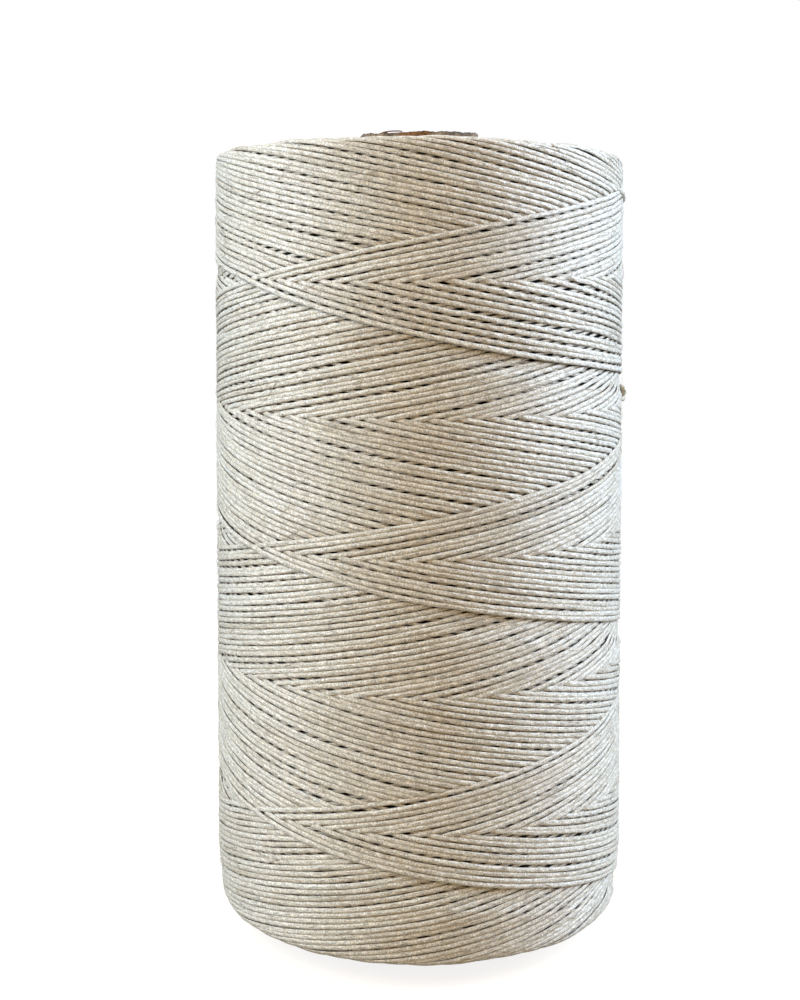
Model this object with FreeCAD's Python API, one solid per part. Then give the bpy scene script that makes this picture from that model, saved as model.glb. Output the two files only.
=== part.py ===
import FreeCAD, Part
import math
import os

# Waxed thread spool: a straight-sided package of waxed thread, cross-wound on a
# spiral-wound paper tube. Millimetres. The origin is the bottom centre of the tube,
# and +Z runs up the tube. -Y is the front.

# Driving dimensions of the tube
bore_diameter = 19.0          # slips over a three-quarter inch stand peg with no play to speak of
ply_thickness = 0.3
body_plies = 3                # plies between the smooth liner and the outer wrap
tube_overhang = 4.3           # how far the tube stands out of the winding at each end

# Driving dimensions of the winding
winding_diameter = 75.0
winding_height = 134.8
thread_diameter = 0.95
outer_layer_strands = 2       # strands deep: each path of the last layer crosses the other one

# The winding's long sides draw in a little towards its ends, and its rims are rounded
top_draw_in = 0.5
top_draw_length = 11.0
bottom_draw_in = 1.1
bottom_draw_length = 16.0
rim_radius = 1.3

# The slack strand: one turn near the top that stands off the winding on the right.
# Angles are about +Z from the front, positive towards +X, and slope is rise per radian.
slack_start_angle = 60.0
slack_end_angle = 112.0
slack_height = 132.0
slack_slope = -7.15
slack_stand_off = 0.45        # from the winding to the strand's centreline, at its middle

# The knot that ties in the finishing end, on the right, just behind the side
knot_angle = 89.0
knot_height = 96.6
knot_half_height = 1.7
knot_half_width = 1.35
knot_proud = 1.35

# Derived sizes
bore_radius = bore_diameter / 2
tube_radius = bore_radius + ply_thickness * (body_plies + 2)
tube_length = winding_height + 2 * tube_overhang
winding_radius = winding_diameter / 2
winding_bottom = tube_overhang
winding_top = tube_overhang + winding_height
thread_nesting = 0.95         # crossing strands press into each other
outer_layer_depth = outer_layer_strands * thread_diameter * thread_nesting

up = FreeCAD.Vector(0, 0, 1)
origin = FreeCAD.Vector(0, 0, 0)


def section_point(radius, height):
    """A point of the half section, which lies in the XZ plane."""
    return FreeCAD.Vector(radius, 0, height)


def around(angle, radius, height):
    """A point at an angle about +Z, in degrees from the front."""
    turn = math.radians(angle)
    return FreeCAD.Vector(radius * math.sin(turn), -radius * math.cos(turn), height)


def revolve(edges):
    """A full turn of a closed half section about the tube's axis."""
    face = Part.Face(Part.Wire(edges))
    return face.revolve(origin, up, 360)


def tube_ply(inner_radius):
    """One paper ply of the tube, as a sleeve of its full length."""
    outer_radius = inner_radius + ply_thickness
    corners = [
        section_point(inner_radius, 0),
        section_point(outer_radius, 0),
        section_point(outer_radius, tube_length),
        section_point(inner_radius, tube_length),
    ]
    return revolve([line(a, b) for a, b in zip(corners, corners[1:] + corners[:1])])


def line(a, b):
    return Part.LineSegment(a, b).toShape()


def arc(a, middle, b):
    return Part.Arc(a, middle, b).toShape()


def draw_in_arc(radius, straight_end, draw_in, length):
    """The gentle arc from the straight side inwards. A negative length runs downwards."""
    bend_radius = (length ** 2 + draw_in ** 2) / (2 * draw_in)
    half_angle = math.asin(length / bend_radius) / 2
    middle = section_point(
        radius - bend_radius * (1 - math.cos(half_angle)),
        straight_end + bend_radius * math.sin(half_angle),
    )
    end = section_point(radius - draw_in, straight_end + length)
    return arc(section_point(radius, straight_end), middle, end)


def rim_arc(radius, end_height, direction):
    """The round rim between the side and an end face: direction is 1 at the top, -1 below."""
    side = section_point(radius, end_height - direction * rim_radius)
    face = section_point(radius - rim_radius, end_height)
    slack = rim_radius * (1 - math.sin(math.radians(45)))
    middle = section_point(radius - slack, end_height - direction * slack)
    return side, arc(side, middle, face), face


def winding_side(radius):
    """The winding's outline from its bottom face to its top face, as (first point, edges, last point)."""
    bottom_side, bottom_rim, bottom_face = rim_arc(radius - bottom_draw_in, winding_bottom, -1)
    top_side, top_rim, top_face = rim_arc(radius - top_draw_in, winding_top, 1)
    straight_bottom = bottom_side.z + bottom_draw_length
    straight_top = top_side.z - top_draw_length
    edges = [
        bottom_rim,
        draw_in_arc(radius, straight_bottom, bottom_draw_in, -bottom_draw_length),
        line(section_point(radius, straight_bottom), section_point(radius, straight_top)),
        draw_in_arc(radius, straight_top, top_draw_in, top_draw_length),
        top_rim,
    ]
    return bottom_face, edges, top_face


def winding_body():
    """All the layers under the last one, wound tight on the tube."""
    bottom_face, side, top_face = winding_side(winding_radius - outer_layer_depth)
    tube_bottom = section_point(tube_radius, winding_bottom)
    tube_top = section_point(tube_radius, winding_top)
    return revolve(
        side + [line(top_face, tube_top), line(tube_top, tube_bottom), line(tube_bottom, bottom_face)]
    )


def winding_outer_layer():
    """The last closed layer, which crosses over itself and is two strands deep."""
    outer_bottom, outer_side, outer_top = winding_side(winding_radius)
    inner_bottom, inner_side, inner_top = winding_side(winding_radius - outer_layer_depth)
    ends = [line(outer_top, inner_top), line(inner_bottom, outer_bottom)]
    return revolve(outer_side + ends[:1] + inner_side[::-1] + ends[1:])


def slack_strand():
    """The strand that stands off the side: a round tube on one arc, its ends back in the winding."""
    middle_angle = (slack_start_angle + slack_end_angle) / 2
    rise = slack_slope * math.radians(slack_end_angle - slack_start_angle) / 2
    end_radius = winding_radius - thread_diameter / 2
    start = around(slack_start_angle, end_radius, slack_height - rise)
    middle = around(middle_angle, winding_radius + slack_stand_off, slack_height)
    end = around(slack_end_angle, end_radius, slack_height + rise)
    path = Part.Arc(start, middle, end)
    tangent = path.tangent(path.FirstParameter)[0]
    section = Part.Wire([Part.Circle(start, tangent, thread_diameter / 2).toShape()])
    return Part.Wire([path.toShape()]).makePipeShell([section], True, True)


def finishing_knot():
    """A small round knot, half sunk into the winding, longer along Z than around the side."""
    knot = Part.makeSphere(1.0)
    stretch = FreeCAD.Matrix()
    depth = knot_proud * 1.4
    stretch.scale(depth, knot_half_width, knot_half_height)
    knot = knot.transformGeometry(stretch)
    knot.rotate(origin, up, knot_angle - 90)
    knot.translate(around(knot_angle, winding_radius + knot_proud - depth, knot_height))
    return knot


def all_nodes():
    """Every node's name and shape, from the bore outwards."""
    nodes = {"core_liner_ply": tube_ply(bore_radius)}
    for number in range(1, body_plies + 1):
        nodes[f"core_body_ply_{number}"] = tube_ply(bore_radius + number * ply_thickness)
    nodes["core_surface_ply"] = tube_ply(tube_radius - ply_thickness)
    nodes["thread_winding_body"] = winding_body()
    nodes["thread_outer_layer"] = winding_outer_layer()
    nodes["thread_slack_strand"] = slack_strand()
    nodes["thread_finishing_knot"] = finishing_knot()
    return nodes


def main():
    os.makedirs("parts", exist_ok=True)
    for name, shape in all_nodes().items():
        print(f"{name}: {shape.ShapeType}, valid {shape.isValid()}, {shape.Volume:.1f} mm3")
        shape.exportStep(f"parts/{name}.step")


main()
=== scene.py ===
import math

import bpy
import numpy as np
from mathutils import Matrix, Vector


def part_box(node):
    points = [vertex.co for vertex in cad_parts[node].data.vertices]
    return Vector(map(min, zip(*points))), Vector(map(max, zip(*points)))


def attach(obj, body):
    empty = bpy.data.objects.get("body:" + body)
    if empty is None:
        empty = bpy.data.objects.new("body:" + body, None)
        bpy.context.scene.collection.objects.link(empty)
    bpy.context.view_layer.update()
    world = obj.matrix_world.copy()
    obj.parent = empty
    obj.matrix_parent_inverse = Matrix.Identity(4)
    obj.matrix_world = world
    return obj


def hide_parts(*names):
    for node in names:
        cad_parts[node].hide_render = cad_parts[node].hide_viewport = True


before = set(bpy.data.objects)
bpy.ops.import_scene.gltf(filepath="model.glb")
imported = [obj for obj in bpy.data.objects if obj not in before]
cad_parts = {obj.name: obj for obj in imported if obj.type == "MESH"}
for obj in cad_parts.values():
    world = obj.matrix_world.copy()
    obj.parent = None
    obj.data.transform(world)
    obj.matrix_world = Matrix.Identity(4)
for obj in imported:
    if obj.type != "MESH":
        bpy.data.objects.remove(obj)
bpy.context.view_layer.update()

# ---------------------------------------------------------------------------------------------
# Sizes, in metres, from the frame. The front is -Y, and turns are counted from it towards +X.
# ---------------------------------------------------------------------------------------------
MM = 0.001
layer_low, layer_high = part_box("thread_outer_layer")
tube_low, tube_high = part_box("core_surface_ply")
_, board_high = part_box("core_body_ply_3")
_, liner_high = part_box("core_liner_ply")

WINDING_RADIUS = layer_high.x
WINDING_BOTTOM = layer_low.z
WINDING_TOP = layer_high.z
WINDING_HEIGHT = WINDING_TOP - WINDING_BOTTOM
TUBE_RADIUS = tube_high.x
TUBE_BOTTOM = tube_low.z
TUBE_TOP = tube_high.z
PLY_THICKNESS = tube_high.x - board_high.x

# The thread lies a little flattened where it is wound
STRAND_HALF_WIDTH = 0.45 * MM
STRAND_HALF_DEPTH = 0.37 * MM
SECTION_SQUARENESS = 0.66       # 1 is an ellipse, and less is squarer
STRAND_SIDES = 8
STEP_LENGTH = 0.85 * MM         # between two rings of vertices
STRIP_ASPECT = STEP_LENGTH / (2 * math.pi * STRAND_HALF_WIDTH)
# Painted shade on the strands: their colour is browned and darkened where others shade them, set by
# these limits
DARK_BELOW = -0.45              # heights on the section, which runs from -1 to 1: wholly dark
OPEN_ABOVE = 0.85               # below the first, and wholly open above the second
RIDGE_ABOVE = 0.2               # where a lower strand's lit ridge starts
BURIED_LIGHT = 0.76             # how much of a lower strand's ridge is still in the open
LOOSE_DARKNESS = 0.12           # of thread that lies in the open
PLY_TWIST_LENGTH = 7.0 * MM     # one full turn of the three plies

# The winding pattern: each traverse makes three turns, and 46 double traverses close a layer
TRAVERSE_TURNS = 3
STRANDS_PER_LAYER = 46
REVERSAL_AT = 0.5 / STRANDS_PER_LAYER    # the bottom reversal: leads above the lowest crossing
DOUBLE_TRAVERSE = 2 * TRAVERSE_TURNS - 2 * REVERSAL_AT
LAYER_TURNS = STRANDS_PER_LAYER * DOUBLE_TRAVERSE
YOUNGEST_STRAND_TURN = 0.361    # where the youngest strand crosses height 0, in turns
REVERSAL_ROUNDING = 1.0 * MM
REVERSAL_BLEND = 0.034          # turns in which a strand climbs on its neighbours at a reversal
TRAVERSE_HEIGHT = WINDING_HEIGHT - 2 * STRAND_HALF_WIDTH + 2 * REVERSAL_ROUNDING
LEAD = TRAVERSE_HEIGHT / (TRAVERSE_TURNS - REVERSAL_AT)

CROSSING_STEP = 0.36 * MM       # how far a strand sinks where another one passes over it
END_CROSSING_STEP = 0.75 * MM   # from the rising to the falling strands, where they turn over
DIP_DEPTH = 0.42 * MM           # the oldest strands of the layer lie this much lower
YOUNGEST_RISE = 0.12 * MM       # the last strand lies loosely on the others
ARM_SAG = 2.5 * MM              # the last falling strand sags this far in front of the spool
SAG_START = -0.144              # where the sag starts and ends, in turns from the front
SAG_END = 0.236
UNDER_LAYER_DEPTH = 1.5 * MM    # of the mass under the strands that are drawn
LAYER_STEP = 1.70 * MM          # from one closed layer to the next
FIRST_RING_DEPTH = 1.25 * MM    # from the rim to the first older layer's ring on an end face
RING_REACH = 3.6 * MM           # how far down from the end face those reversals are drawn
RING_STEP = 1.3 * MM            # between two rings of vertices on them
RING_TURN = 0.37                # turns from one layer's reversals to the next layer's
RING_STRAND_SIZE = 1.08
RING_STRAND_SIDES = 6

TOP_DRAW_IN = 0.1 * MM
TOP_DRAW_LENGTH = 12.0 * MM
BOTTOM_DRAW_IN = 0.9 * MM
BOTTOM_DRAW_LENGTH = 10.0 * MM
BOTTOM_DRAW_CURVE = 1.3         # 1 is a straight cone, and more bends in nearer the end
TOP_TILT = 0.47 * MM            # the top end face is not quite level
TOP_TILT_TOWARDS = -0.16        # the high side, in turns from the front
TOP_TILT_REACH = 16 * MM        # how far below the end face its tilt fades out
TURN_TILT = 1.6 * MM            # half of how much lower the upper turns lie in front than behind
TURN_TILT_OFFSET = 0.64         # how far they are lifted all round, as a share of that
RIM_FADE = 5 * MM               # the turns' tilt and sideways wander fade out this near a rim
RIM_RADIUS = 0.6 * MM
RIM_LEAN_LENGTH = 1.5 * MM      # the strands face partly up or down this close to a rim

rng = np.random.default_rng(7)


# ---------------------------------------------------------------------------------------------
# Camera
# ---------------------------------------------------------------------------------------------
def make_camera():
    """Level with the upper part of the spool and looking very slightly down on its lower end."""
    distance = 6.924 * WINDING_RADIUS
    height = WINDING_BOTTOM + 2.809 * WINDING_RADIUS
    pitch_down = 0.0418
    turn_left = 0.0135
    data = bpy.data.cameras.new("camera")
    data.sensor_width = 36.0
    data.lens = 50.04
    data.shift_y = -0.12
    data.clip_start = 0.01
    data.clip_end = 50.0
    camera = bpy.data.objects.new("camera", data)
    bpy.context.scene.collection.objects.link(camera)
    camera.location = (0.0, -distance, height)
    camera.rotation_euler = (math.pi / 2 - pitch_down, 0.0, turn_left)
    bpy.context.scene.camera = camera


make_camera()


# ---------------------------------------------------------------------------------------------
# Node helpers
# ---------------------------------------------------------------------------------------------
class Nodes:
    """A material's node tree with short calls for what these materials need."""

    def __init__(self, name):
        self.material = bpy.data.materials.new(name)
        self.material.use_nodes = True
        self.tree = self.material.node_tree
        self.shader = self.tree.nodes["Principled BSDF"]

    def add(self, kind, **settings):
        node = self.tree.nodes.new(kind)
        for key, value in settings.items():
            setattr(node, key, value)
        return node

    def link(self, source, target):
        self.tree.links.new(source, target)

    def plug(self, value, socket):
        """A number or a colour is set on the socket, and an output is linked to it."""
        if isinstance(value, (int, float)):
            socket.default_value = value
        elif isinstance(value, tuple):
            socket.default_value = (*value, 1.0)
        elif value is not None:
            self.link(value, socket)

    def attribute(self, name):
        return self.add("ShaderNodeAttribute", attribute_name=name).outputs["Fac"]

    def position(self):
        return self.add("ShaderNodeTexCoord").outputs["Object"]

    def split(self, vector):
        node = self.add("ShaderNodeSeparateXYZ")
        self.link(vector, node.inputs[0])
        return node.outputs["X"], node.outputs["Y"], node.outputs["Z"]

    def join(self, x, y, z):
        node = self.add("ShaderNodeCombineXYZ")
        for value, socket in zip((x, y, z), node.inputs):
            self.plug(value, socket)
        return node.outputs[0]

    def noise(self, scale, detail=3.0, roughness=0.55, vector=None):
        node = self.add("ShaderNodeTexNoise")
        node.inputs["Scale"].default_value = scale
        node.inputs["Detail"].default_value = detail
        node.inputs["Roughness"].default_value = roughness
        self.link(vector or self.position(), node.inputs["Vector"])
        return node.outputs["Fac"]

    def math(self, operation, a, b=None, c=None, clamp=False):
        node = self.add("ShaderNodeMath", operation=operation, use_clamp=clamp)
        for value, socket in zip((a, b, c), node.inputs):
            self.plug(value, socket)
        return node.outputs[0]

    def ramp(self, value, stops):
        node = self.add("ShaderNodeValToRGB")
        elements = node.color_ramp.elements
        while len(elements) < len(stops):
            elements.new(0.5)
        for element, (place, colour) in zip(elements, stops):
            element.position = place
            element.color = (*colour, 1.0)
        self.link(value, node.inputs["Fac"])
        return node.outputs["Color"]

    def grey(self, value, stops):
        return self.ramp(value, [(place, (level, level, level)) for place, level in stops])

    def mix(self, share, a, b, blend="MIX"):
        node = self.add("ShaderNodeMix", data_type="RGBA", blend_type=blend)
        self.plug(share, node.inputs[0])
        self.plug(a, node.inputs[6])
        self.plug(b, node.inputs[7])
        return node.outputs[2]

    def bump(self, height, strength, distance):
        node = self.add("ShaderNodeBump")
        node.inputs["Strength"].default_value = strength
        node.inputs["Distance"].default_value = distance
        self.link(height, node.inputs["Height"])
        return node.outputs["Normal"]


# ---------------------------------------------------------------------------------------------
# Materials
# ---------------------------------------------------------------------------------------------
def ply_ridges(n, along, around):
    """Height of the three twisted plies, from 0 in the grooves to 1, from the thread's UV map."""
    wander = n.noise(900.0, 2.0)
    twist = n.math("MULTIPLY", n.math("ADD", around, along), 3.0)
    twist = n.math("MULTIPLY_ADD", wander, 0.6, twist)
    wave = n.math("SINE", n.math("MULTIPLY", twist, 2 * math.pi))
    return n.math("POWER", n.math("MULTIPLY_ADD", wave, 0.5, 0.5), 0.6)


def thread_material():
    """Natural waxed thread: three plies twisted together, cream, with a dull waxy gloss."""
    n = Nodes("waxed_thread")
    uv = n.add("ShaderNodeUVMap", uv_map="along_thread").outputs["UV"]
    along, around, _ = n.split(uv)
    ridges = ply_ridges(n, along, around)
    # Fibres lie along the thread, about 1.5 mm long and 0.2 mm wide as they show
    lengthwise = n.join(n.math("MULTIPLY", along, 4.6), n.math("MULTIPLY", around, 13.0), 0.0)
    streaks = n.noise(1.0, 3.0, 0.65, lengthwise)
    fuzz = n.noise(3800.0, 3.0, 0.7)
    height = n.math("MULTIPLY_ADD", streaks, 1.6, n.math("MULTIPLY", ridges, 0.5))
    height = n.math("MULTIPLY_ADD", fuzz, 0.7, height)
    n.link(n.bump(height, 0.8, 0.10 * MM), n.shader.inputs["Normal"])

    tone = n.attribute("strand_tone")
    patches = n.noise(170.0, 3.0)
    mixed = n.math("MULTIPLY_ADD", tone, 0.55, n.math("MULTIPLY", patches, 0.45))
    creams = [(0.25, (0.60, 0.54, 0.44)), (0.5, (0.71, 0.665, 0.575)), (0.75, (0.78, 0.755, 0.69))]
    cream = n.ramp(mixed, creams)
    # Painted shade: the grooves between the plies are coloured a little darker
    grooves = n.ramp(ridges, [(0.0, (0.92, 0.89, 0.84)), (0.6, (1.0, 1.0, 1.0))])
    colour = n.mix(1.0, cream, grooves, "MULTIPLY")
    grain = n.grey(streaks, [(0.36, 0.66), (0.5, 1.0), (0.66, 1.26)])
    colour = n.mix(1.0, colour, grain, "MULTIPLY")
    speckle = n.grey(fuzz, [(0.38, 0.68), (0.5, 1.0), (0.62, 1.24)])
    colour = n.mix(1.0, colour, speckle, "MULTIPLY")
    # Pale flecks: partly flecks of wax, and partly painted glints
    wax_flecks_and_glints = n.grey(n.noise(2400.0, 2.0), [(0.60, 0.0), (0.68, 0.9)])
    colour = n.mix(wax_flecks_and_glints, colour, (0.97, 0.96, 0.93))
    # Painted shade: gaps between strands and lower strands' sides are browned and darkened to near
    # black
    painted_shade = n.attribute("painted_shade")
    colour = n.mix(n.math("MULTIPLY", painted_shade, 0.7, clamp=True), colour, (0.38, 0.23, 0.10))
    depth = n.grey(painted_shade, [(0.23, 1.0), (0.44, 0.0)])
    colour = n.mix(1.0, colour, depth, "MULTIPLY")
    n.link(colour, n.shader.inputs["Base Color"])
    n.link(n.math("MULTIPLY_ADD", fuzz, 0.30, 0.24), n.shader.inputs["Roughness"])
    n.shader.inputs["Specular IOR Level"].default_value = 0.6
    return n.material


def under_layer_shade_material():
    """The layer beneath, painted near-black to stand for the shade that shows in the gaps between
    strands.
    """
    n = Nodes("thread_under_layer_painted_shade")
    grain = n.noise(900.0, 3.0)
    colour = n.ramp(grain, [(0.3, (0.012, 0.008, 0.004)), (0.7, (0.04, 0.028, 0.016))])
    n.link(colour, n.shader.inputs["Base Color"])
    n.link(n.bump(grain, 0.6, 0.3 * MM), n.shader.inputs["Normal"])
    n.shader.inputs["Roughness"].default_value = 0.9
    return n.material


def paper_material(name, dark, light, bare_dark=None, bare_light=None, stain=0.5):
    """Kraft paper or board: fibres, blotches, marks, painted shade along the edge, and pale where it
    is bare.
    """
    n = Nodes(name)
    blotch = n.noise(180.0, 4.0)
    fibre = n.noise(2600.0, 4.0, 0.7)
    mixed = n.math("MULTIPLY_ADD", blotch, 0.6, n.math("MULTIPLY", fibre, 0.4))
    colour = n.ramp(mixed, [(0.38, dark), (0.62, light)])
    if bare_dark:
        pale = n.ramp(mixed, [(0.38, bare_dark), (0.62, bare_light)])
        colour = n.mix(n.attribute("bare"), colour, pale)
    marks = n.grey(n.noise(800.0, 5.0, 0.7), [(0.40, 1.0 - stain), (0.56, 1.0)])
    colour = n.mix(1.0, colour, marks, "MULTIPLY")
    # Painted shade: the paper's top edge is darkened almost to black
    edge = n.math("MULTIPLY", n.attribute("painted_edge_shade"), 0.75)
    colour = n.mix(edge, colour, (0.055, 0.038, 0.026))
    n.link(colour, n.shader.inputs["Base Color"])
    n.link(n.bump(fibre, 0.6, 0.1 * MM), n.shader.inputs["Normal"])
    n.link(n.math("MULTIPLY_ADD", blotch, 0.2, 0.72), n.shader.inputs["Roughness"])
    n.shader.inputs["Specular IOR Level"].default_value = 0.3
    return n.material


THREAD = thread_material()
UNDER_SHADE = under_layer_shade_material()
RUST, RUST_LIGHT = (0.14, 0.055, 0.018), (0.36, 0.165, 0.05)
TAN, TAN_LIGHT = (0.22, 0.145, 0.085), (0.42, 0.31, 0.20)
SURFACE_PAPER = paper_material("surface_paper", RUST, RUST_LIGHT, TAN, TAN_LIGHT, 0.7)
FLAP_PAPER = paper_material("flap_paper", (0.10, 0.035, 0.02), (0.22, 0.09, 0.05))
BOARD = paper_material("core_board", (0.16, 0.10, 0.06), (0.34, 0.24, 0.15))
LINER_PAPER = paper_material("liner_paper", (0.22, 0.15, 0.09), (0.42, 0.30, 0.20))


# ---------------------------------------------------------------------------------------------
# Shared geometry
# ---------------------------------------------------------------------------------------------
def smooth_step(low, high, x):
    t = np.clip((x - low) / (high - low), 0.0, 1.0)
    return t * t * (3 - 2 * t)


class SlowNoise:
    """A smooth random line: a few sines of different wavelengths, in turns."""

    def __init__(self, wavelengths, amplitude):
        self.waves = []
        for wavelength in wavelengths:
            stretch = rng.uniform(0.8, 1.25)
            phase = rng.uniform(0, 2 * math.pi)
            self.waves.append((2 * math.pi / wavelength * stretch, phase))
        self.amplitude = amplitude / math.sqrt(len(wavelengths))

    def __call__(self, turns):
        return self.amplitude * sum(np.sin(k * turns + phase) for k, phase in self.waves)


def wandering(turns, spacing, amplitude):
    """A random line that never repeats: random values, spacing turns apart, joined smoothly."""
    knots = rng.normal(0.0, amplitude, int(turns.max() / spacing) + 4)
    at = (turns - turns.min()) / spacing
    before = np.floor(at).astype(int)
    share = at - before
    share = share * share * (3 - 2 * share)
    return knots[before] * (1 - share) + knots[before + 1] * share


def around_axis(turns, radius, height):
    angle = 2 * math.pi * turns
    return np.stack([radius * np.sin(angle), -radius * np.cos(angle), height + 0 * angle], axis=1)


def away_from_axis(turns):
    return around_axis(turns, 1.0, 0.0)


def from_front(turns):
    """The same place as turns between -0.5 and 0.5 from the front."""
    return np.mod(turns + 0.5, 1.0) - 0.5


class Run:
    """A length of thread: its centreline, which way is out, and how it looks there."""

    def __init__(self, points, outward, tone=0.5, buried=0.0, size=1.0, loose=False):
        self.points = points
        self.loose = loose
        self.outward = outward
        count = len(points)
        self.tone = np.broadcast_to(tone, count)
        self.buried = np.broadcast_to(buried, count)
        self.size = np.broadcast_to(size, count)
        steps = np.linalg.norm(np.diff(points, axis=0), axis=1)
        self.length = np.concatenate([[0.0], np.cumsum(steps)])

    def part(self, first, last):
        """The stretch between two of its points, with the length still counted from the start."""
        piece = Run(self.points[first:last + 1], self.outward[first:last + 1])
        for key in ("tone", "buried", "size", "length"):
            setattr(piece, key, getattr(self, key)[first:last + 1])
        return piece


def unit(vectors):
    return vectors / np.linalg.norm(vectors, axis=1)[:, None]


def tube_rings(run, sides):
    """The rings of vertices of a tube of oval section round a run of thread."""
    tangent = unit(np.gradient(run.points, axis=0))
    across = unit(np.cross(tangent, run.outward))
    outward = np.cross(across, tangent)
    wide = (STRAND_HALF_WIDTH * run.size)[:, None, None]
    deep = (STRAND_HALF_DEPTH * run.size)[:, None, None]
    right, up = section(sides)
    sideways = wide * across[:, None, :] * right[None, :, None]
    upward = deep * outward[:, None, :] * up[None, :, None]
    return run.points[:, None, :] + sideways + upward


def section(sides):
    """The thread's section, a little squarer than an ellipse, with a flat on top."""
    ring = 2 * math.pi * (np.arange(sides) + 0.5) / sides
    across, up = np.cos(ring), np.sin(ring)
    squared = [np.sign(v) * np.abs(v) ** SECTION_SQUARENESS for v in (across, up)]
    return squared


def painted_shade_share(run, sides):
    """Painted shade at each vertex: 1 deep between strands, and 0 on an upper strand's open ridge."""
    if run.loose:
        return np.full((len(run.points), sides), LOOSE_DARKNESS)
    up = section(sides)[1]
    open_side = smooth_step(DARK_BELOW, OPEN_ABOVE, up)[None, :]
    ridge = smooth_step(RIDGE_ABOVE, 1.0, up)[None, :]
    buried = run.buried[:, None]
    return (1 - open_side) * (1 - buried) + buried * (1 - BURIED_LIGHT * ridge)


def tube_quads(count, sides):
    row = np.arange(count - 1)[:, None] * sides
    side = np.arange(sides)[None, :]
    following = (side + 1) % sides
    corners = [row + side, row + following, row + sides + following, row + sides + side]
    return np.stack(corners, axis=-1).reshape(-1, 4)


def quad_corners(start, end, low, high):
    """UV corners of quads in the order that tube_quads gives theirs."""
    return np.stack([start, low, start, high, end, high, end, low], axis=1)


def tube_uvs(run, sides):
    """x counts ply-twist lengths along the thread, and y goes once round it."""
    along = run.length / PLY_TWIST_LENGTH
    low = np.tile(np.arange(sides) / sides, len(along) - 1)
    start, end = np.repeat(along[:-1], sides), np.repeat(along[1:], sides)
    return quad_corners(start, end, low, low + 1.0 / sides)


def strip_uvs(quad_rows, sides):
    """A flat layout for baking: the tubes cut into equal strips, laid above each other."""
    strips = max(1, math.ceil(math.sqrt(quad_rows * STRIP_ASPECT)))
    per_strip = math.ceil(quad_rows / strips)
    number = np.arange(quad_rows)
    strip = np.repeat(number // per_strip, sides)
    at = np.repeat(number % per_strip, sides)
    side = np.tile(np.arange(sides), quad_rows)
    gap = 0.06
    low = (strip + gap + (1 - 2 * gap) * side / sides) / strips
    high = (strip + gap + (1 - 2 * gap) * (side + 1) / sides) / strips
    return quad_corners(at / per_strip, (at + 1) / per_strip, low, high)


def mesh_from_loops(name, vertices, loops, sizes):
    """A smooth mesh from its vertices, its faces' vertex numbers in a row, and the faces' sizes."""
    mesh = bpy.data.meshes.new(name)
    mesh.vertices.add(len(vertices))
    mesh.vertices.foreach_set("co", vertices.astype(np.float32).reshape(-1))
    mesh.loops.add(int(sizes.sum()))
    mesh.loops.foreach_set("vertex_index", loops.astype(np.int32))
    mesh.polygons.add(len(sizes))
    starts = np.concatenate([[0], np.cumsum(sizes)[:-1]]).astype(np.int32)
    mesh.polygons.foreach_set("loop_start", starts)
    mesh.update(calc_edges=True)
    mesh.polygons.foreach_set("use_smooth", np.ones(len(sizes), bool))
    return mesh


def add_point_values(mesh, key, values):
    attribute = mesh.attributes.new(key, "FLOAT", "POINT")
    attribute.data.foreach_set("value", values.astype(np.float32))


def tube_mesh(name, runs, sides, material):
    """One mesh of closed tubes, with a UV map along the thread and another laid out for baking."""
    counts = [len(run.points) for run in runs]
    firsts = np.concatenate([[0], np.cumsum(counts)[:-1]]) * sides
    vertices = np.concatenate([tube_rings(run, sides).reshape(-1, 3) for run in runs])
    quads = np.concatenate([a + tube_quads(count, sides) for a, count in zip(firsts, counts)])
    caps = []
    for first, count in zip(firsts, counts):
        caps.append(first + np.arange(sides)[::-1])
        caps.append(first + (count - 1) * sides + np.arange(sides))
    cap_loops = np.concatenate(caps)
    sizes = np.concatenate([np.full(len(quads), 4), np.full(len(caps), sides)])
    mesh = mesh_from_loops(name, vertices, np.concatenate([quads.reshape(-1), cap_loops]), sizes)
    along = np.concatenate([tube_uvs(run, sides) for run in runs])
    flat = strip_uvs(len(quads) // sides, sides)
    for layer_name, corners in (("along_thread", along), ("OFBake", flat)):
        layer = mesh.uv_layers.new(name=layer_name)
        every = np.concatenate([corners.reshape(-1), np.zeros(2 * len(cap_loops))])
        layer.data.foreach_set("uv", every.astype(np.float32))
    tones = [np.repeat(run.tone, sides) for run in runs]
    painted_shade = [painted_shade_share(run, sides).reshape(-1) for run in runs]
    add_point_values(mesh, "strand_tone", np.concatenate(tones))
    add_point_values(mesh, "painted_shade", np.concatenate(painted_shade))
    return linked(name, mesh, material)


def linked(name, mesh, material):
    mesh.validate()
    mesh.materials.append(material)
    obj = bpy.data.objects.new(name, mesh)
    bpy.context.scene.collection.objects.link(obj)
    return obj


def finish_piece(obj, slot, *nodes):
    """Everything rides on the spool's one body and stands for CAD nodes; the slot is not used."""
    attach(obj, "root")
    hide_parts(*nodes)


def lathe(name, outline, segments, material):
    """A closed solid of revolution from a closed outline of (radius, height) points."""
    count = len(outline)
    turns = np.arange(segments) / segments
    rings = [around_axis(np.full(count, t), outline[:, 0], outline[:, 1]) for t in turns]
    faces = []
    for a in range(segments):
        b = (a + 1) % segments
        for i in range(count):
            j = (i + 1) % count
            faces.append((a * count + i, b * count + i, b * count + j, a * count + j))
    mesh = bpy.data.meshes.new(name)
    mesh.from_pydata(np.concatenate(rings).tolist(), [], faces)
    mesh.polygons.foreach_set("use_smooth", np.ones(len(faces), bool))
    return linked(name, mesh, material)


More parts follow.
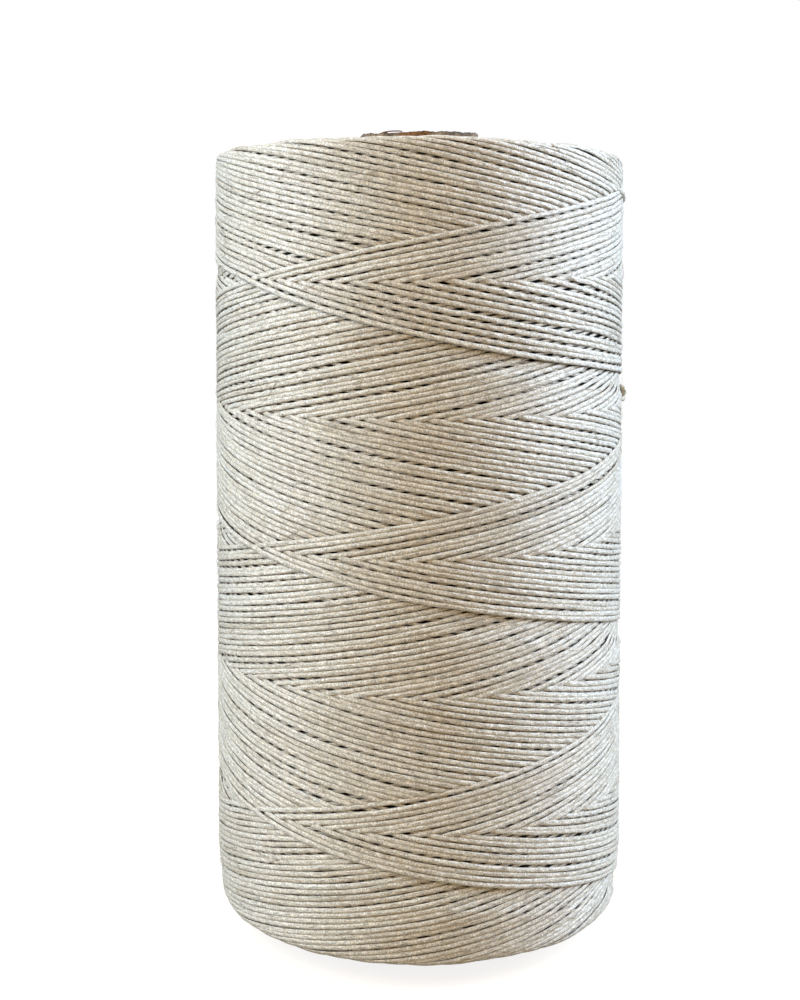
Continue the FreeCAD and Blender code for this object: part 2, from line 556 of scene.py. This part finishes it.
# ---------------------------------------------------------------------------------------------
# The winding's last closed layer
# ---------------------------------------------------------------------------------------------
def side_line(height):
    """The winding's radius at a height above the base: drawn in at both ends, with round rims."""
    from_top = np.clip((height - (WINDING_TOP - TOP_DRAW_LENGTH)) / TOP_DRAW_LENGTH, 0, 1)
    from_bottom = np.clip((WINDING_BOTTOM + BOTTOM_DRAW_LENGTH - height) / BOTTOM_DRAW_LENGTH, 0, 1)
    drawn_in = TOP_DRAW_IN * from_top ** 2 + BOTTOM_DRAW_IN * from_bottom ** BOTTOM_DRAW_CURVE
    to_rim = np.minimum(WINDING_TOP - height, height - WINDING_BOTTOM)
    into_rim = np.clip(RIM_RADIUS - to_rim, 0, RIM_RADIUS)
    return WINDING_RADIUS - drawn_in - (RIM_RADIUS - np.sqrt(RIM_RADIUS ** 2 - into_rim ** 2))


def share_on_top(index, place, rising, sag):
    """1 where the strand is the upper one of the two that cross, 0 where it is the lower one.

    place is the height in leads, and sag how far the falling strands lie too low there. Strands
    are numbered from the youngest, and each meets the others in turn: older ones pass under it
    and younger ones over it.
    """
    half = 0.5 / STRANDS_PER_LAYER
    phase = np.mod(np.where(rising, 2 * place, -2 * place) + sag / LEAD, 1.0)
    start = np.where(rising, half, -half)
    end = 1 - half - index / STRANDS_PER_LAYER
    share = 0.0
    for shift in (-1.0, 0.0, 1.0):
        entered = smooth_step(start - half, start + half, phase + shift)
        left = smooth_step(end - half, end + half, phase + shift)
        share = share + entered * (1 - left)
    return np.clip(share, 0, 1)


def turns_past_reversal(into):
    """Turns since the nearest reversal, negative before it, from turns into a double traverse."""
    reversals = np.array([0.0, TRAVERSE_TURNS - REVERSAL_AT, DOUBLE_TRAVERSE])
    past = into[:, None] - reversals
    nearest = np.abs(past).argmin(axis=1)
    return past[np.arange(len(into)), nearest]


def zigzag_height(place):
    """Height of a strand's centreline, with rounded reversals, from its place in leads."""
    above = LEAD * (place - REVERSAL_AT)
    below = LEAD * (TRAVERSE_TURNS - place)
    lift = np.sqrt(above ** 2 + REVERSAL_ROUNDING ** 2) - above
    drop = np.sqrt(below ** 2 + REVERSAL_ROUNDING ** 2) - below
    return WINDING_BOTTOM + STRAND_HALF_WIDTH - REVERSAL_ROUNDING + above + lift - drop


def rim_lift(turns, height, radius=WINDING_RADIUS):
    """How much the tilt of the top end face lifts the thread near it."""
    share = smooth_step(TOP_TILT_REACH, 0, WINDING_TOP - height) * radius / WINDING_RADIUS
    return TOP_TILT * share * np.cos(2 * math.pi * (turns - TOP_TILT_TOWARDS))


def turn_tilt(turns, height):
    """The turns lie a little tilted: lower in front near the top, and level near the bottom."""
    share = smooth_step(0.1, 0.6, (height - WINDING_BOTTOM) / WINDING_HEIGHT)
    return TURN_TILT * share * (TURN_TILT_OFFSET - np.cos(2 * math.pi * turns))


def arm_sag(turns, place):
    """How far the falling strands lie too low in front of the spool, in their last pass but two.

    The youngest one sags most, and those above it less, so that they spread out a little.
    """
    front = from_front(turns)
    past_arm = front - YOUNGEST_STRAND_TURN + place - (TRAVERSE_TURNS - 1)
    across = np.clip((front - SAG_START) / (SAG_END - SAG_START), 0, 1)
    upward = smooth_step(-0.20, -0.07, past_arm) * np.clip(1 - past_arm / 0.27, 0, 1)
    return ARM_SAG * np.sin(math.pi * across) * upward


def dip_share(turns, place, sag):
    """1 over the oldest strands, just under the youngest falling one, and 0 elsewhere.

    sag is how far the falling strands lie too low where a rising one passes, and 0 for the
    falling ones.
    """
    age = np.mod(turns - YOUNGEST_STRAND_TURN + place + sag / LEAD, 1.0)
    return smooth_step(0.895, 0.935, age) * (1 - smooth_step(0.988, 1.0, age))


def last_layer():
    """The thread of the last closed layer, from its oldest double traverse to its youngest."""
    steps = int(LAYER_TURNS * 2 * math.pi * WINDING_RADIUS / STEP_LENGTH)
    travel = np.linspace(0, LAYER_TURNS, steps + 1)
    done = np.minimum(np.floor(travel / DOUBLE_TRAVERSE), STRANDS_PER_LAYER - 1)
    index = STRANDS_PER_LAYER - 1 - done
    into = travel - done * DOUBLE_TRAVERSE
    rising = into < TRAVERSE_TURNS - REVERSAL_AT
    place = np.where(rising, REVERSAL_AT + into, 2 * TRAVERSE_TURNS - REVERSAL_AT - into)
    turns = travel + YOUNGEST_STRAND_TURN - REVERSAL_AT

    past = turns_past_reversal(into)
    climbing = smooth_step(-REVERSAL_BLEND, REVERSAL_BLEND, past)
    sag = arm_sag(turns, place)
    on_top = share_on_top(index, place, rising, sag)
    on_top = np.where(past < 0, np.maximum(on_top, climbing), np.minimum(on_top, climbing))

    height = zigzag_height(place) - sag * ~rising
    to_rim = np.minimum(WINDING_TOP - height, height - WINDING_BOTTOM)
    inside = smooth_step(0, RIM_FADE, to_rim)
    sideways = wandering(travel, 0.21, 0.10 * MM) + wandering(travel, 0.053, 0.065 * MM)
    sideways += wandering(travel, 0.015, 0.035 * MM)
    height = height + inside * (sideways + turn_tilt(turns, height))
    height = height + (1 - inside) * wandering(travel, 0.11, 0.12 * MM)

    tuck = 0.02
    tail = smooth_step(LAYER_TURNS - tuck, LAYER_TURNS, travel)
    ends = smooth_step(0, tuck, travel) * (1 - tail)
    youngest = (index == 0) & ~rising
    radius = side_line(height) - STRAND_HALF_DEPTH - CROSSING_STEP * (1 - on_top)
    radius += wandering(travel, 0.07, 0.035 * MM) + wandering(travel, 0.021, 0.02 * MM)
    radius -= DIP_DEPTH * dip_share(turns, place, sag * rising) + CROSSING_STEP * (1 - ends)
    radius += YOUNGEST_RISE * youngest * smooth_step(0, 0.1, past)
    tone = 0.5 + wandering(travel, 0.8, 0.11) + wandering(travel, 0.09, 0.09)
    size = 1 + wandering(travel, 0.06, 0.04)
    points = around_axis(turns, radius, height + rim_lift(turns, height))
    end_sign = np.where(height > WINDING_HEIGHT / 2, 1.0, -1.0)
    lean = end_sign * np.clip(1 - to_rim / RIM_LEAN_LENGTH, 0, 1)
    outward = away_from_axis(turns) + lean[:, None] * np.array([0.0, 0.0, 1.0])
    return Run(points, outward, tone, 1 - on_top, size)


def add_last_layer(pieces):
    """The layer's thread cut into equal lengths, each a piece of its own."""
    thread = last_layer()
    cuts = np.linspace(0, len(thread.points) - 1, pieces + 1).astype(int)
    for number, (first, last) in enumerate(zip(cuts[:-1], cuts[1:]), 1):
        stretch = [thread.part(first, last)]
        piece = tube_mesh(f"thread_top_layer_{number:02d}", stretch, STRAND_SIDES, THREAD)
        finish_piece(piece, "waxed_thread", "thread_outer_layer")


def add_under_layer():
    """The mass of older layers, just under the strands that are drawn, painted near-black as shade."""
    below_face = 3.0 * MM
    heights = np.linspace(WINDING_BOTTOM + below_face, WINDING_TOP - below_face, 60)
    side = np.stack([side_line(heights) - UNDER_LAYER_DEPTH - DIP_DEPTH, heights], axis=1)
    inner = np.array([[TUBE_RADIUS, heights[-1]], [TUBE_RADIUS, heights[0]]])
    under = lathe("thread_under_layer_painted_shade", np.concatenate([side, inner]), 160, UNDER_SHADE)
    finish_piece(under, "waxed_thread", "thread_winding_body")


add_last_layer(12)
add_under_layer()


# ---------------------------------------------------------------------------------------------
# The end faces: where every older layer's strands turn round
# ---------------------------------------------------------------------------------------------
def end_reversals(top):
    """The older layers' reversals on one end face: each strand comes up, turns over and goes back."""
    runs = []
    outer_ring = WINDING_RADIUS - FIRST_RING_DEPTH - (TOP_DRAW_IN if top else BOTTOM_DRAW_IN)
    room = outer_ring - END_CROSSING_STEP - STRAND_HALF_DEPTH - TUBE_RADIUS
    layers = 1 + int(room / LAYER_STEP)
    out_of_face = np.array([0.0, 0.0, 1.0 if top else -1.0])
    half_turn = RING_REACH / LEAD
    for layer in range(1, layers + 1):
        radius = outer_ring - (layer - 1) * LAYER_STEP
        steps = max(7, int(2 * half_turn * 2 * math.pi * radius / RING_STEP))
        offset = np.linspace(-half_turn, half_turn, steps)
        for index in range(STRANDS_PER_LAYER):
            middle = (index + rng.uniform(-0.15, 0.15)) / STRANDS_PER_LAYER + RING_TURN * layer
            depth = np.hypot(LEAD * offset, REVERSAL_ROUNDING) - REVERSAL_ROUNDING
            depth += STRAND_HALF_WIDTH + abs(rng.normal(0, 0.25)) * MM
            over = smooth_step(-0.5, 0.5, offset / half_turn)
            place = radius - END_CROSSING_STEP * (1 - over) + rng.normal(0, 0.10) * MM
            height = WINDING_TOP - depth if top else WINDING_BOTTOM + depth
            height = height + rim_lift(middle + offset, height, radius)
            tone = 0.5 + rng.normal(0, 0.12)
            points = around_axis(middle + offset, place, height)
            outward = 0.5 * away_from_axis(middle + offset) + out_of_face
            # Painted shade: reversals that lie deeper below the end face are darkened more
            buried = 0.6 * smooth_step(1.4 * MM, 3.0 * MM, depth)
            runs.append(Run(points, outward, tone, buried, RING_STRAND_SIZE))
    return runs


for end in ("top", "bottom"):
    runs = end_reversals(end == "top")
    half = len(runs) // 2
    for number, share in enumerate((runs[:half], runs[half:]), 1):
        piece = tube_mesh(f"thread_{end}_reversals_{number}", share, RING_STRAND_SIDES, THREAD)
        finish_piece(piece, "waxed_thread", "thread_winding_body")


# ---------------------------------------------------------------------------------------------
# The slack strand and the finishing knot, on the right side
# ---------------------------------------------------------------------------------------------
def add_raised_strand():
    """A slack strand that bows off the side of the winding near the top and dives back in."""
    low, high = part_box("thread_slack_strand")
    middle_turn = 0.245
    half_turn = 0.105
    stand_off = 0.6 * MM
    offset = np.linspace(-half_turn, half_turn, 100)
    turns = middle_turn + offset
    height = (low.z + high.z) / 2 - 0.5 * LEAD * offset
    bow = np.cos(math.pi / 2 * offset / half_turn) ** 2
    sunk = side_line(height) - STRAND_HALF_DEPTH - CROSSING_STEP
    radius = sunk + (CROSSING_STEP + stand_off) * bow
    points = around_axis(turns, radius, height)
    run = Run(points, away_from_axis(turns), 0.55, size=0.85, loose=True)
    piece = tube_mesh("thread_raised_strand", [run], STRAND_SIDES, THREAD)
    finish_piece(piece, "waxed_thread", "thread_slack_strand")


def knot_path():
    """An overhand knot: an open trefoil flat on the surface, with its two legs, in knot units."""
    angle = np.linspace(math.pi + 0.25, 3 * math.pi - 0.25, 70)
    x = np.sin(angle) + 2 * np.sin(2 * angle)
    y = np.cos(angle) - 2 * np.cos(2 * angle)
    z = -np.sin(3 * angle)
    loop = np.stack([x, y, z], axis=1)
    reach = np.linspace(1.0, 0.0, 12)[:, None]
    bend = reach ** 2
    inward = np.array([0.0, 0.0, -4.5])
    leg_in = loop[0] + reach * np.array([-6.0, -0.6, 0.0]) + bend * inward
    leg_out = loop[-1] + reach[::-1] * np.array([6.0, -0.6, 0.0]) + bend[::-1] * inward
    return np.concatenate([leg_in[:-1], loop, leg_out[1:]])


def add_knot():
    """The knot at the thread's end, tight against the winding."""
    low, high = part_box("thread_finishing_knot")
    middle = (low + high) / 2
    out = np.array([middle.x, middle.y, 0.0])
    out /= np.linalg.norm(out)
    level = np.array([-out[1], out[0], 0.0])
    up = np.array([0.0, 0.0, 1.0])
    slope = LEAD / (2 * math.pi * WINDING_RADIUS)
    along = (level - slope * up) / math.hypot(1, slope)
    over = np.cross(out, along)
    unit_size = 0.47 * MM
    stand_off = 0.15 * MM
    base = out * (WINDING_RADIUS + stand_off) + middle.z * up
    local = knot_path()
    points = base + unit_size * (local[:, :1] * along + local[:, 1:2] * over + local[:, 2:] * out)
    outward = np.broadcast_to(out, points.shape) + 0.05 * over
    # The lowest tone darkens the knot as painted shade
    run = Run(points, outward, 0.0, size=1.0, loose=True)
    piece = tube_mesh("thread_tied_knot", [run], STRAND_SIDES, THREAD)
    finish_piece(piece, "waxed_thread", "thread_finishing_knot")


def add_surface_fibres(count):
    """Stray fibres of the thread, a few millimetres long, lying loosely on the winding."""
    strand_slope = 0.19
    fibre_size = 0.09
    along = np.linspace(-0.5, 0.5, 7)
    runs = []
    for _ in range(count):
        length = rng.uniform(1.2, 3.6) * MM
        slope = rng.choice((-strand_slope, strand_slope)) + rng.normal(0, 0.4)
        curve = rng.normal(0, 0.25) * length
        middle = rng.uniform(WINDING_BOTTOM + 2 * MM, WINDING_TOP - 0.6 * MM)
        height = middle + slope * length * along + curve * along ** 2
        height = np.clip(height, WINDING_BOTTOM + 0.3 * MM, WINDING_TOP - 0.1 * MM)
        turns = rng.uniform(0, 1) + length * along / (2 * math.pi * WINDING_RADIUS)
        lift = rng.uniform(0.02, 0.16) * MM * np.cos(math.pi * along)
        points = around_axis(turns, side_line(height) + lift, height + rim_lift(turns, height))
        tone = rng.uniform(0.3, 1.0)
        runs.append(Run(points, away_from_axis(turns), tone, size=fibre_size, loose=True))
    piece = tube_mesh("thread_surface_fibres", runs, 4, THREAD)
    finish_piece(piece, "waxed_thread", "thread_outer_layer")


add_raised_strand()
add_knot()
add_surface_fibres(1500)


# ---------------------------------------------------------------------------------------------
# Paper tube
# ---------------------------------------------------------------------------------------------
def paper_wrap(name, inner, outer, top_at, material, slot, node):
    """A thin paper shell round the tube's axis whose top edge follows top_at(turns).

    Painted shade along its top edge is marked by one attribute, and where its brown skin is gone by
    bare.
    """
    segments = 240
    turns = np.arange(segments) / segments
    top = top_at(turns)
    bevel = 0.04 * MM
    # The third number of each point is painted shade: darkest along the top edge, half on the inner
    # side below it
    outline = (
        (outer, TUBE_BOTTOM, 0.0),
        (outer, top - 1.6 * MM, 0.0),
        (outer, top - 0.30 * MM, 0.2),
        (outer - bevel, top, 1.0),
        (inner + bevel, top, 1.0),
        (inner, top - 0.30 * MM, 0.5),
        (inner, TUBE_BOTTOM, 0.0),
    )
    rings = [around_axis(turns, radius, height) for radius, height, _ in outline]
    faces = []
    for i in range(len(outline)):
        j = (i + 1) % len(outline)
        for a in range(segments):
            b = (a + 1) % segments
            faces.append((i * segments + a, i * segments + b, j * segments + b, j * segments + a))
    mesh = bpy.data.meshes.new(name)
    mesh.from_pydata(np.concatenate(rings).tolist(), [], faces)
    edge = np.concatenate([np.full(segments, share) for _, _, share in outline])
    bare = np.tile(1 - brown_share(turns), len(outline))
    add_point_values(mesh, "painted_edge_shade", edge)
    add_point_values(mesh, "bare", bare)
    piece = linked(name, mesh, material)
    finish_piece(piece, slot, node)


def brown_share(turns):
    """Where the surface paper still has its brown skin: a patch in front, and scraps behind."""
    angle = from_front(turns)
    front = smooth_step(-0.056, -0.050, angle) * (1 - smooth_step(0.024, 0.036, angle))
    behind = smooth_step(0.30, 0.34, np.abs(angle)) * (1 - smooth_step(0.42, 0.45, np.abs(angle)))
    return np.maximum(front, behind)


def torn_edge(turns):
    """The surface paper's top edge: ragged, notched left of the front, highest on the right."""
    angle = from_front(turns)
    coarse = SlowNoise((0.25, 0.11, 0.05), 0.10 * MM)(turns)
    fine = SlowNoise((0.021, 0.012), 0.05 * MM)(turns)
    left = smooth_step(-0.30, -0.20, angle) * (1 - smooth_step(-0.16, -0.11, angle))
    notch = smooth_step(-0.088, -0.080, angle) * (1 - smooth_step(-0.054, -0.048, angle))
    right = smooth_step(0.03, 0.22, angle) * (1 - smooth_step(0.26, 0.34, angle))
    tears = 0.25 * MM * left - 0.42 * MM * notch + 0.65 * MM * right
    return TUBE_TOP + 0.1 * MM + coarse + fine + tears


def straight_edge(turns):
    return TUBE_TOP - 0.05 * MM + SlowNoise((0.5, 0.11, 0.03), 0.05 * MM)(turns)


def add_paper_flap():
    """A torn strip of the surface paper that has lifted off the tube's top edge as a low arch."""
    steps = 24
    left_end, width = -0.100, 0.056
    arch = 0.14 * MM
    gap = 0.02 * MM
    share = np.linspace(0, 1, steps)
    turns = left_end + width * share
    low = TUBE_TOP + arch * np.sin(math.pi * share) ** 0.7 + gap
    radius = TUBE_RADIUS + 0.1 * MM
    thick = 0.16 * MM
    tall = 0.20 * MM
    corners = (
        (radius - thick, low),
        (radius, low),
        (radius, low + tall),
        (radius - thick, low + tall),
    )
    rings = [around_axis(turns, distance, height) for distance, height in corners]
    vertices = np.stack(rings, axis=1).reshape(-1, 3)
    faces = tube_quads(steps, 4).tolist()
    faces += [[3, 2, 1, 0], [4 * steps - 4, 4 * steps - 3, 4 * steps - 2, 4 * steps - 1]]
    mesh = bpy.data.meshes.new("core_paper_flap")
    mesh.from_pydata(vertices.tolist(), [], faces)
    piece = linked("core_paper_flap", mesh, FLAP_PAPER)
    finish_piece(piece, "surface_paper", "core_surface_ply")


def repaint(node, material):
    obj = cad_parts[node]
    obj.data.materials.clear()
    obj.data.materials.append(material)


for number in (1, 2, 3):
    repaint(f"core_body_ply_{number}", BOARD)
bore_radius = liner_high.x - PLY_THICKNESS
paper_wrap("core_surface_wrap", TUBE_RADIUS - PLY_THICKNESS, TUBE_RADIUS, torn_edge,
           SURFACE_PAPER, "surface_paper", "core_surface_ply")
paper_wrap("core_liner_wrap", bore_radius, liner_high.x, straight_edge,
           LINER_PAPER, "liner_paper", "core_liner_ply")
add_paper_flap()


# ---------------------------------------------------------------------------------------------
# Floor, backdrop and light
# ---------------------------------------------------------------------------------------------
def floor_material():
    """White, and fading out with distance so that it meets the backdrop without a horizon.

    To the camera it also glows, which leaves only a faint shadow.
    """
    glow = 0.85
    fade_from, fade_to = 0.12, 0.42
    n = Nodes("floor_paint")
    n.shader.inputs["Base Color"].default_value = (0.30, 0.25, 0.19, 1.0)
    n.shader.inputs["Roughness"].default_value = 0.9
    n.shader.inputs["Specular IOR Level"].default_value = 0.1
    n.shader.inputs["Emission Color"].default_value = (1.0, 1.0, 1.0, 1.0)
    seen = n.add("ShaderNodeLightPath").outputs["Is Camera Ray"]
    n.link(n.math("MULTIPLY", seen, glow), n.shader.inputs["Emission Strength"])
    length = n.add("ShaderNodeVectorMath", operation="LENGTH")
    n.link(n.position(), length.inputs[0])
    far = n.add("ShaderNodeMapRange", interpolation_type="SMOOTHSTEP")
    n.link(length.outputs["Value"], far.inputs["Value"])
    far.inputs["From Min"].default_value = fade_from
    far.inputs["From Max"].default_value = fade_to
    far.inputs["To Min"].default_value = 1.0
    far.inputs["To Max"].default_value = 0.0
    n.link(far.outputs["Result"], n.shader.inputs["Alpha"])
    return n.material


def make_floor():
    """A square just under the tube's lower rim, so that the two faces are not in one plane."""
    mesh = bpy.data.meshes.new("floor")
    half = 1.2
    level = -0.1 * MM
    corners = [(-half, -half), (half, -half), (half, half), (-half, half)]
    mesh.from_pydata([(x, y, level) for x, y in corners], [], [(0, 1, 2, 3)])
    floor = bpy.data.objects.new("floor", mesh)
    bpy.context.scene.collection.objects.link(floor)
    mesh.materials.append(floor_material())


def soft_light(name, azimuth, elevation, distance, size, power, colour):
    """A rectangular soft light aimed at the middle of the spool, azimuth in degrees from the front."""
    data = bpy.data.lights.new(name, "AREA")
    data.shape = "RECTANGLE"
    data.size, data.size_y = size
    data.energy = power
    data.color = colour
    light = bpy.data.objects.new(name, data)
    turn, rise = math.radians(azimuth), math.radians(elevation)
    level = math.cos(rise)
    toward = Vector((math.sin(turn) * level, -math.cos(turn) * level, math.sin(rise)))
    light.location = Vector((0.0, 0.0, WINDING_BOTTOM + WINDING_HEIGHT / 2)) + distance * toward
    light.rotation_euler = (-toward).to_track_quat("-Z", "Y").to_euler()
    bpy.context.scene.collection.objects.link(light)


def make_world(ambient_colour, ambient_strength):
    """A pale room: white where the camera sees it, and dimmer as a light."""
    world = bpy.data.worlds.new("pale_room")
    bpy.context.scene.world = world
    world.use_nodes = True
    tree = world.node_tree
    ambient = tree.nodes["Background"]
    ambient.inputs["Color"].default_value = (*ambient_colour, 1.0)
    ambient.inputs["Strength"].default_value = ambient_strength
    seen = tree.nodes.new("ShaderNodeBackground")
    seen.inputs["Color"].default_value = (1.0, 1.0, 1.0, 1.0)
    seen.inputs["Strength"].default_value = 1.0
    path = tree.nodes.new("ShaderNodeLightPath")
    mix = tree.nodes.new("ShaderNodeMixShader")
    tree.links.new(path.outputs["Is Camera Ray"], mix.inputs[0])
    tree.links.new(ambient.outputs[0], mix.inputs[1])
    tree.links.new(seen.outputs[0], mix.inputs[2])
    tree.links.new(mix.outputs[0], tree.nodes["World Output"].inputs["Surface"])


make_floor()
make_world((1.0, 0.88, 0.75), 0.10)
soft_light("left_light", -69, 30, 0.46, (0.28, 0.34), 3.0, (0.745, 0.875, 1.0))
soft_light("right_light", 86, 30, 0.46, (0.28, 0.34), 4.0, (0.65, 0.80, 1.0))
soft_light("front_light", 0, 28, 0.6, (0.3, 0.4), 0.95, (1.0, 0.56, 0.06))
soft_light("back_light", 180, 30, 0.6, (0.3, 0.4), 1.1, (1.0, 0.95, 0.86))
soft_light("top_light", 180, 80, 0.9, (0.7, 0.7), 1.2, (1.0, 0.97, 0.92))
bpy.context.scene.view_settings.view_transform = "Standard"
